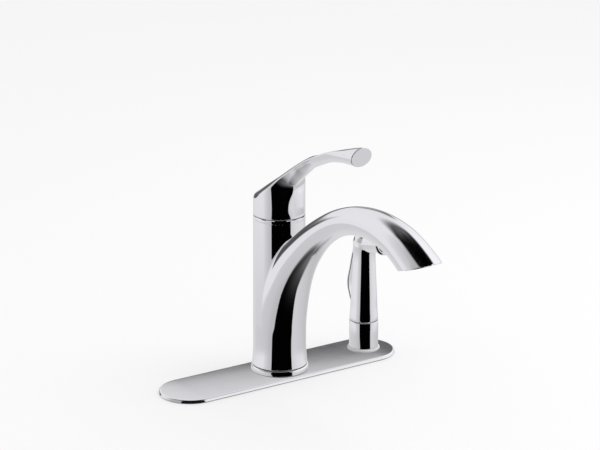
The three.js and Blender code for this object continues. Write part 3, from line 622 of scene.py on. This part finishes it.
def trigger_field(x, y, z):
    sx = np.abs(x - SPRAY_X)
    # the back is crowned; 0.93 stands for the slope of both sides
    crown = 1.2 * (sx / TRIGGER_HALF) ** 2
    back = (y + crown - read_off(TRIGGER_BACK, z)) * 0.93
    front = (read_off(TRIGGER_FRONT, z) - y) * 0.93
    shape = common(common(back, np.maximum(front, 2 - y), 0.8), sx - TRIGGER_HALF, 1.6)
    shape = common(shape, z - TRIGGER_HIGH, 2)
    return common(shape, TRIGGER_LOW - z, 1.2)


def jet_face():
    """Dark face of the spray with rings of small holes."""
    face = lathe("spray_face_disc", rounded([(0, -3.4), (8, -3.4), (8, -0.7), (0, -0.2)], 0.4),
                 NOZZLE_FACE, NOZZLE_AXIS, 64)
    cutters = []
    side = np.array((1.0, 0, 0))
    up = np.cross(NOZZLE_AXIS, side)
    for r, count in ((1.9, 5), (3.9, 10), (6, 15)):
        for i in range(count):
            a = 2 * math.pi * i / count
            centre = NOZZLE_FACE + side * r * math.cos(a) + up * r * math.sin(a)
            cutters.append(lathe("hole", [(0, -1.6), (0.42, -1.6), (0.42, 1), (0, 1)],
                                 centre, NOZZLE_AXIS, 12))
    return carve(face, cutters)


def carve(thing, cutters):
    """Cuts the cutters, which don't touch each other, out of the thing."""
    with bpy.context.temp_override(active_object=cutters[0], selected_editable_objects=cutters):
        bpy.ops.object.join()
    tool = cutters[0]
    cut = thing.modifiers.new("cut", "BOOLEAN")
    cut.object, cut.operation, cut.solver = tool, "DIFFERENCE", "EXACT"
    bpy.context.view_layer.update()
    graph = bpy.context.evaluated_depsgraph_get()
    mesh = bpy.data.meshes.new_from_object(thing.evaluated_get(graph))
    thing.modifiers.clear()
    thing.data = mesh
    bpy.data.objects.remove(tool)
    mesh.shade_smooth()
    mesh.set_sharp_from_angle(angle=math.radians(FLAT_CREASE))
    return thing


# ---------------------------------------------------------------- plate
def stadium_ring(length, width, z):
    """Points round a plan outline with round ends, from the middle of the front edge."""
    half, radius = (length - width) / 2, width / 2
    count = OUTLINE_POINTS // 2
    made = []
    for side in (1, -1):
        for i in range(count):
            turn = i / (count - 1) * math.pi - math.pi / 2
            made.append((side * (half + radius * math.cos(turn)), side * radius * math.sin(turn), z))
    return made


def stacked(name, outlines):
    """A closed mesh through a stack of outlines with the same number of points."""
    count = len(outlines[0])
    last = (len(outlines) - 1) * count
    faces = []
    for k in range(0, last, count):
        for i in range(count):
            j = (i + 1) % count
            faces.append((k + i, k + j, k + count + j, k + count + i))
    faces.append(tuple(range(last, last + count)))
    faces.append(tuple(range(count))[::-1])
    return add_mesh(name, sum(outlines, []), faces, sharp=FLAT_CREASE)


def deck_plate():
    """Slightly domed plate: rings of the same outline, drawn in towards the middle."""
    # (how far the outline is drawn in, height) up the bevel and over its rounded edge
    rings = [(0.4, 0.6), (0.06, 0.72), (0, 0.95), (0.35, 1.85), (0.7, 2.75), (0.95, 3.06), (1.35, 3.24),
             (1.9, 3.33), (2.5, 3.38)]
    inset, top = rings[-1]
    dome = 0.62
    rings += [(inset + 27.4 * t, top + dome * (1 - (1 - t) ** 2)) for t in np.linspace(0.06, 1, 12)]
    return stacked("deck_plate_domed", [stadium_ring(PLATE_LENGTH - 2 * inset, PLATE_WIDTH - 2 * inset, z)
                                        for inset, z in rings])


def plate_edge_shade():
    """Thin dark strip under the plate's edge: a painted contact shadow along the plate's foot."""
    return stacked("plate_edge_shade", [stadium_ring(PLATE_LENGTH - 1.4, PLATE_WIDTH - 1.4, z)
                                    for z in (0, 0.64)])


# ---------------------------------------------------------------- all pieces
def add_shells():
    """The cast and moulded pieces, as smooth closed surfaces."""
    surface = nets(spout_field, steps(-29, (29, 1.1)), steps(-249, (-203, 0.7), (29, 1.2)),
                   steps(8, (13, 0.6), (145, 1.2), (175, 0.7), (207, 1.2)))
    place(add_mesh("spout_shell", *surface), "spout", "chrome", "spout_body")
    surface = nets(handle_field, steps(-27, (27, 0.8)), steps(-141, (-126, 0.5), (27, 0.8)),
                   steps(161, (259, 0.8)))
    place(add_mesh("handle_shell", *surface), "handle", "chrome", "lever_handle")
    surface = nets(wand_field, steps(85, (118, 0.7)), steps(-34, (16, 0.7)), steps(34, (134, 0.7)))
    place(add_mesh("spray_shell", *surface), "spray", "chrome", "spray_wand")
    surface = nets(trigger_field, steps(93, (110, 0.6)), steps(0, (24, 0.6)), steps(45, (124, 0.8)))
    place(add_mesh("trigger_blade", *surface), "trigger", "chrome", "spray_trigger")


def add_seam():
    """Crisp turned rims above and below the seam between body and hub."""
    low = SEAM - 3.4
    dish = [(math.sqrt(DISH_RADIUS ** 2 - (PIVOT_Z - z) ** 2), z) for z in np.linspace(161.3, 158.6, 5)[1:]]
    place(ring("body_rim", [(24.9, low), (25.36, low), (25.33, SEAM, 0.35)] + dish, 0.1, segments=180),
          "spout", "chrome")
    low, high = SEAM + 1, HUB_FOOT + 1
    place(ring("hub_rim", [(18, low), (25.28, low, 0.5), (25.28, high), (18, high)], 0.1, segments=180),
          "handle", "chrome")


def add_seam_shades():
    """Thin black rubber rings that close the gaps between the pieces: painted shade that darkens the seams.
    """
    place(washer("hub_seam_shade_ring", 24.5, 24.95, 161.7, 162.5), "handle", "rubber")
    place(washer("foot_seam_shade_ring", 24.8, 27.0, 9.0, 10.6), "deck", "rubber")
    place(washer("base_seam_shade_ring", 24.8, 28.0, 3.7, 4.35), "deck", "rubber")
    place(washer("spray_seam_shade_ring", 12.4, 13.9, 34.42, 35.1, SPRAY_X), "spray", "rubber")


def add_fittings():
    """Plate, base ring, spray holder, the spray's nozzle and the aerator."""
    at_spray = (SPRAY_X, 0, 0)
    place(deck_plate(), "deck", "chrome", "deck_plate", material=SATIN)
    # dark strip under the plate's edge, a painted contact shadow
    place(plate_edge_shade(), "deck", "rubber")
    place(ring("base_ring_turned", [(21, 4.3), (28.3, 4.3), (28.3, 9.3, 1.6), (21, 9.3)], 0.5, segments=160),
          "deck", "chrome", "base_ring")
    place(ring("holder_rim", [(12.7, 4.2), (16.4, 4.2), (16.4, 6.0, 1.0), (15.2, 6.8, 0.6), (12.7, 6.8)],
               0.3, at_spray), "deck", "white_plastic", "holder_flange")
    place(ring("holder_tube", [(11.6, -46), (12.2, -46), (12.2, 7.1), (14.7, 7.1), (14.7, 34.4, 0.7),
                               (11.6, 34.4, 0.6)], 0.3, at_spray), "deck", "chrome", "spray_holder")
    place(ring("spray_rim", [(8.4, -5.6), (9.8, -5.6), (11, -4.4, 0.8), (11, -1.6, 0.8), (9.6, -0.4, 0.8),
                             (8.4, -0.4)], 0.3, NOZZLE_FACE, NOZZLE_AXIS, 96),
          "spray", "chrome", "spray_flange")
    place(jet_face(), "spray", "dark_plastic", "spray_face")
    place(ring("aerator_ring", [(8.8, -5.6), (12.4, -5.6), (12.4, 1, 0.8), (9.4, 1, 0.8)],
               0.3, MOUTH_CENTRE, MOUTH_NORMAL, 96), "spout", "chrome", "aerator_housing")


# ---------------------------------------------------------------- studio
def direction(azimuth, elevation):
    """Unit vector towards a bearing in degrees, counted from the front of the faucet."""
    a, e = math.radians(azimuth), math.radians(elevation)
    return Vector((math.sin(a) * math.cos(e), -math.cos(a) * math.cos(e), math.sin(e)))


def add_camera():
    back = direction(CAMERA_AZIMUTH, CAMERA_ELEVATION)
    a = math.radians(CAMERA_AZIMUTH)
    right = Vector((math.cos(a), math.sin(a), 0))
    up = back.cross(right)
    camera = bpy.data.objects.new("camera", bpy.data.cameras.new("camera"))
    camera.data.sensor_width = 36
    camera.data.lens = CAMERA_LENS
    camera.data.clip_end = 50
    turn = Matrix((right, up, back)).transposed().to_4x4()
    camera.matrix_world = Matrix.Translation(Vector(CAMERA_PLACE)) @ turn
    bpy.context.scene.collection.objects.link(camera)
    bpy.context.scene.camera = camera


class Recipe:
    """Small helper that writes sums as shader nodes."""

    def __init__(self, tree):
        self.tree = tree

    def math(self, kind, *values):
        made = self.tree.nodes.new("ShaderNodeMath")
        made.operation = kind
        for socket, value in zip(made.inputs, values):
            if isinstance(value, (int, float)):
                socket.default_value = value
            else:
                self.tree.links.new(value, socket)
        return made.outputs[0]

    def degrees(self, kind, *values):
        return self.math("MULTIPLY", self.math(kind, *values), 180 / math.pi)

    def dot(self, vector, fixed):
        made = self.tree.nodes.new("ShaderNodeVectorMath")
        made.operation = "DOT_PRODUCT"
        made.inputs[1].default_value = fixed
        self.tree.links.new(vector, made.inputs[0])
        return made.outputs["Value"]

    def curve(self, value, *points):
        """A value read off a smooth curve given as (in, out) pairs."""
        made = self.tree.nodes.new("ShaderNodeFloatCurve")
        low, high = points[0][0], points[-1][0]
        least, most = min(p[1] for p in points), max(p[1] for p in points)
        line = made.mapping.curves[0]
        while len(line.points) < len(points):
            line.points.new(0.5, 0.5)
        for slot, (a, b) in zip(line.points, points):
            slot.location = ((a - low) / (high - low), (b - least) / (most - least))
            slot.handle_type = "AUTO_CLAMPED"
        made.mapping.update()
        scaled = self.math("DIVIDE", self.math("SUBTRACT", value, low), high - low)
        self.tree.links.new(scaled, made.inputs["Value"])
        return self.math("ADD", self.math("MULTIPLY", made.outputs["Value"], most - least), least)

    def step(self, value, middle, soft):
        """0 well below the middle, 1 well above it, over plus or minus the softness."""
        made = self.tree.nodes.new("ShaderNodeMapRange")
        made.interpolation_type = "SMOOTHSTEP"
        made.inputs["From Min"].default_value = -1
        made.inputs["From Max"].default_value = 1
        ratio = self.math("DIVIDE", self.math("SUBTRACT", value, middle), soft)
        self.tree.links.new(ratio, made.inputs["Value"])
        return made.outputs["Result"]

    def below(self, value, middle, soft):
        return self.math("SUBTRACT", 1.0, self.step(value, middle, soft))

    def both(self, a, b):
        return self.math("MULTIPLY", a, b)

    def blend(self, a, b, share):
        return self.math("ADD", self.math("MULTIPLY", a, self.math("SUBTRACT", 1.0, share)),
                         self.math("MULTIPLY", b, share))


def pale_walls(do, turn, rise):
    """Pale walls all round, brighter above the horizon."""
    low = do.curve(turn, (-180, 0.72), (-150, 0.71), (-120, 0.65), (-90, 0.63), (-60, 0.59), (-28, 0.52),
                   (50, 0.58), (66, 0.66), (90, 0.64), (120, 0.6), (142, 0.56), (162, 0.66), (180, 0.72))
    level = do.curve(turn, (-180, 0.72), (-150, 0.76), (-122, 0.81), (-82, 0.82), (-65, 0.715), (-50, 0.61),
                     (-34, 0.55), (50, 0.66), (60, 0.69), (97, 0.785), (120, 0.8), (150, 0.69), (180, 0.72))
    high = do.curve(turn, (-180, 0.8), (-110, 0.83), (-96, 0.72), (-82, 0.6), (-60, 0.45), (50, 0.85),
                    (75, 0.88), (105, 0.95), (130, 0.97), (150, 0.93), (168, 0.85), (180, 0.8))
    return do.blend(do.blend(low, level, do.step(rise, -17.6, 2.5)), high, do.step(rise, 0, 9))


def dark_horizon(do, light, turn, rise):
    """Dark line at the horizon behind the object."""
    horizon = do.curve(turn, (-180, 0.8), (-170, 0.92), (-158, 0.95), (-132, 1), (-122, 0), (148, 0),
                       (166, 0.45), (180, 0.8))
    band = do.both(do.step(rise, -8, 3), do.below(rise, 6.5, 3.5))
    return do.blend(light, 0.08, do.both(horizon, band))


def grey_backdrop(do, light, behind, rise):
    """Grey backdrop low behind the object, with a slanting upper edge."""
    above = do.math("SUBTRACT", do.math("ADD", rise, do.math("MULTIPLY", behind, 0.89)), 20.45)
    grey = do.curve(above, (-12, 0.13), (-4.5, 0.131), (-2.2, 0.147), (-1.1, 0.224), (0, 0.334),
                    (0.63, 0.4), (1.7, 0.523), (3.6, 0.615), (4.6, 0.657), (8.5, 0.72), (14, 0.78))
    shown = do.both(do.step(rise, 10, 3), do.below(rise, 31, 4))
    shown = do.both(shown, do.below(do.math("ABSOLUTE", behind), 9, 3))
    return do.blend(light, grey, shown)


def black_wall(do, light, turn, rise):
    """Black wall on the camera's side, running on over the floor and fading there."""
    left = do.curve(rise, (-90, -180), (-80, -140), (-72, -104), (-66, -84), (-60, -67), (-54, -52),
                    (-48, -42), (-42, -35), (-36, -29.5), (-30, -29), (-18, -34), (90, -34))
    left_soft = do.curve(rise, (-90, 80), (-72, 50), (-60, 24), (-54, 12), (-48, 6), (-42, 2.5),
                         (-30, 1.2), (90, 1.2))
    end = do.curve(rise, (-90, 180), (-84, 125), (-78, 96), (-72, 78), (-66, 64), (-60, 57), (-30, 56),
                   (-18, 52), (90, 52))
    end_soft = do.curve(rise, (-90, 80), (-78, 36), (-72, 22), (-66, 10), (-60, 4), (-50, 1.4), (90, 1.2))
    shade = do.curve(rise, (-90, 0.17), (-84, 0.137), (-78, 0.092), (-72, 0.058), (-66, 0.036),
                     (-60, 0.02), (-54, 0.009), (-48, 0.003), (-40, 0.0005), (90, 0.0005))
    return do.blend(light, shade, do.both(do.step(turn, left, left_soft), do.below(turn, end, end_soft)))


def dark_floor(do, light, turn, rise):
    """The floor darkens straight below, away from the camera."""
    below = do.curve(rise, (-90, 0.12), (-80, 0.16), (-76, 0.32), (-70, 0.46), (-64, 0.58), (-56, 0.7))
    away = do.both(do.step(do.math("ABSOLUTE", turn), 145, 12), do.below(rise, -60, 5))
    return do.blend(light, below, away)


def dark_ceiling(do, light, turn, rise):
    """Dark ceiling, a little lighter behind the object."""
    tone = do.curve(turn, (-180, 0.13), (-150, 0.11), (-120, 0.07), (-100, 0.03), (-80, 0.003),
                    (130, 0.003), (150, 0.02), (166, 0.07), (180, 0.13))
    tone = do.both(tone, do.curve(rise, (-90, 1), (66, 1), (70, 0.8), (77, 0.24), (85, 0.03), (90, 0.02)))
    edge = do.curve(turn, (-180, 52), (-150, 51), (-120, 50), (-100, 50), (-84, 53), (-60, 52), (100, 57),
                    (140, 57), (160, 55), (180, 52))
    soft = do.curve(turn, (-180, 9), (-125, 9), (-100, 7), (-82, 5.5), (130, 5.5), (160, 7), (180, 9))
    return do.blend(light, tone, do.step(rise, edge, soft))


def studio_light(do, towards):
    """How bright the studio is that the metal mirrors, by bearing from the camera and by elevation."""
    front = direction(CAMERA_AZIMUTH, 0)
    right = Vector((-front.y, front.x, 0))
    turn = do.degrees("ARCTAN2", do.dot(towards, right), do.dot(towards, front))
    behind = do.degrees("ARCTAN2", do.dot(towards, -right), do.dot(towards, -front))
    rise = do.degrees("ARCSINE", do.dot(towards, (0, 0, 1)))
    light = pale_walls(do, turn, rise)
    light = dark_horizon(do, light, turn, rise)
    light = grey_backdrop(do, light, behind, rise)
    light = black_wall(do, light, turn, rise)
    light = dark_floor(do, light, turn, rise)
    return dark_ceiling(do, light, turn, rise)


def add_world():
    """White surround, plain grey light, and the studio that only the metal mirrors."""
    world = bpy.data.worlds.new("studio")
    bpy.context.scene.world = world
    world.use_nodes = True
    tree = world.node_tree
    tree.nodes.clear()
    do = Recipe(tree)
    path = tree.nodes.new("ShaderNodeLightPath")

    def background(colour=None):
        made = tree.nodes.new("ShaderNodeBackground")
        if colour:
            made.inputs["Color"].default_value = (*colour, 1)
        return made

    def choose(share, first, second):
        made = tree.nodes.new("ShaderNodeMixShader")
        tree.links.new(share, made.inputs["Fac"])
        tree.links.new(first.outputs[0], made.inputs[1])
        tree.links.new(second.outputs[0], made.inputs[2])
        return made

    mirrored = background()
    tree.links.new(studio_light(do, tree.nodes.new("ShaderNodeTexCoord").outputs["Generated"]),
                   mirrored.inputs["Color"])
    unseen = choose(path.outputs["Is Glossy Ray"], background((0.8, 0.8, 0.8)), mirrored)
    seen = do.math("MAXIMUM", path.outputs["Is Camera Ray"], path.outputs["Is Transmission Ray"])
    out = tree.nodes.new("ShaderNodeOutputWorld")
    tree.links.new(choose(seen, unseen, background((0.955, 0.957, 0.96))).outputs[0],
                   out.inputs["Surface"])


def add_floor():
    """Pale sink deck that fades into the surround and keeps a soft shadow."""
    mesh = bpy.data.meshes.new("floor")
    mesh.from_pydata([(-6, -6, 0), (6, -6, 0), (6, 6, 0), (-6, 6, 0)], [], [(0, 1, 2, 3)])
    floor = bpy.data.objects.new("floor", mesh)
    bpy.context.scene.collection.objects.link(floor)
    floor.location.z = -0.0003
    made = bpy.data.materials.new("pale_floor")
    made.use_nodes = True
    tree = made.node_tree
    tree.nodes.clear()
    glow = tree.nodes.new("ShaderNodeEmission")
    glow.inputs["Color"].default_value = (1, 1, 1, 1)
    glow.inputs["Strength"].default_value = 0.5
    matte = tree.nodes.new("ShaderNodeBsdfDiffuse")
    matte.inputs["Color"].default_value = (0.5, 0.5, 0.5, 1)
    both = tree.nodes.new("ShaderNodeAddShader")
    tree.links.new(glow.outputs[0], both.inputs[0])
    tree.links.new(matte.outputs[0], both.inputs[1])
    out = tree.nodes.new("ShaderNodeOutputMaterial")
    tree.links.new(both.outputs[0], out.inputs["Surface"])
    mesh.materials.append(made)


def add_lamp():
    """One large soft lamp from the front right."""
    place_at, aim = Vector((0.9, -0.6, 1.6)), Vector((0, -0.05, 0.1))
    lamp = bpy.data.objects.new("key", bpy.data.lights.new("key", "AREA"))
    lamp.data.shape = "DISK"
    lamp.data.size = 1.4
    lamp.data.energy = 8
    lamp.location = place_at
    lamp.rotation_mode = "QUATERNION"
    lamp.rotation_quaternion = (aim - place_at).to_track_quat("-Z", "Y")
    lamp.visible_glossy = False
    bpy.context.scene.collection.objects.link(lamp)


add_shells()
add_seam()
add_seam_shades()
add_fittings()
add_camera()
add_world()
add_floor()
add_lamp()
bpy.context.scene.view_settings.view_transform = "Standard"

# the polished pieces mirror the studio, not each other
for thing in bpy.context.scene.objects:
    if thing.type == "MESH":
        thing.visible_glossy = False
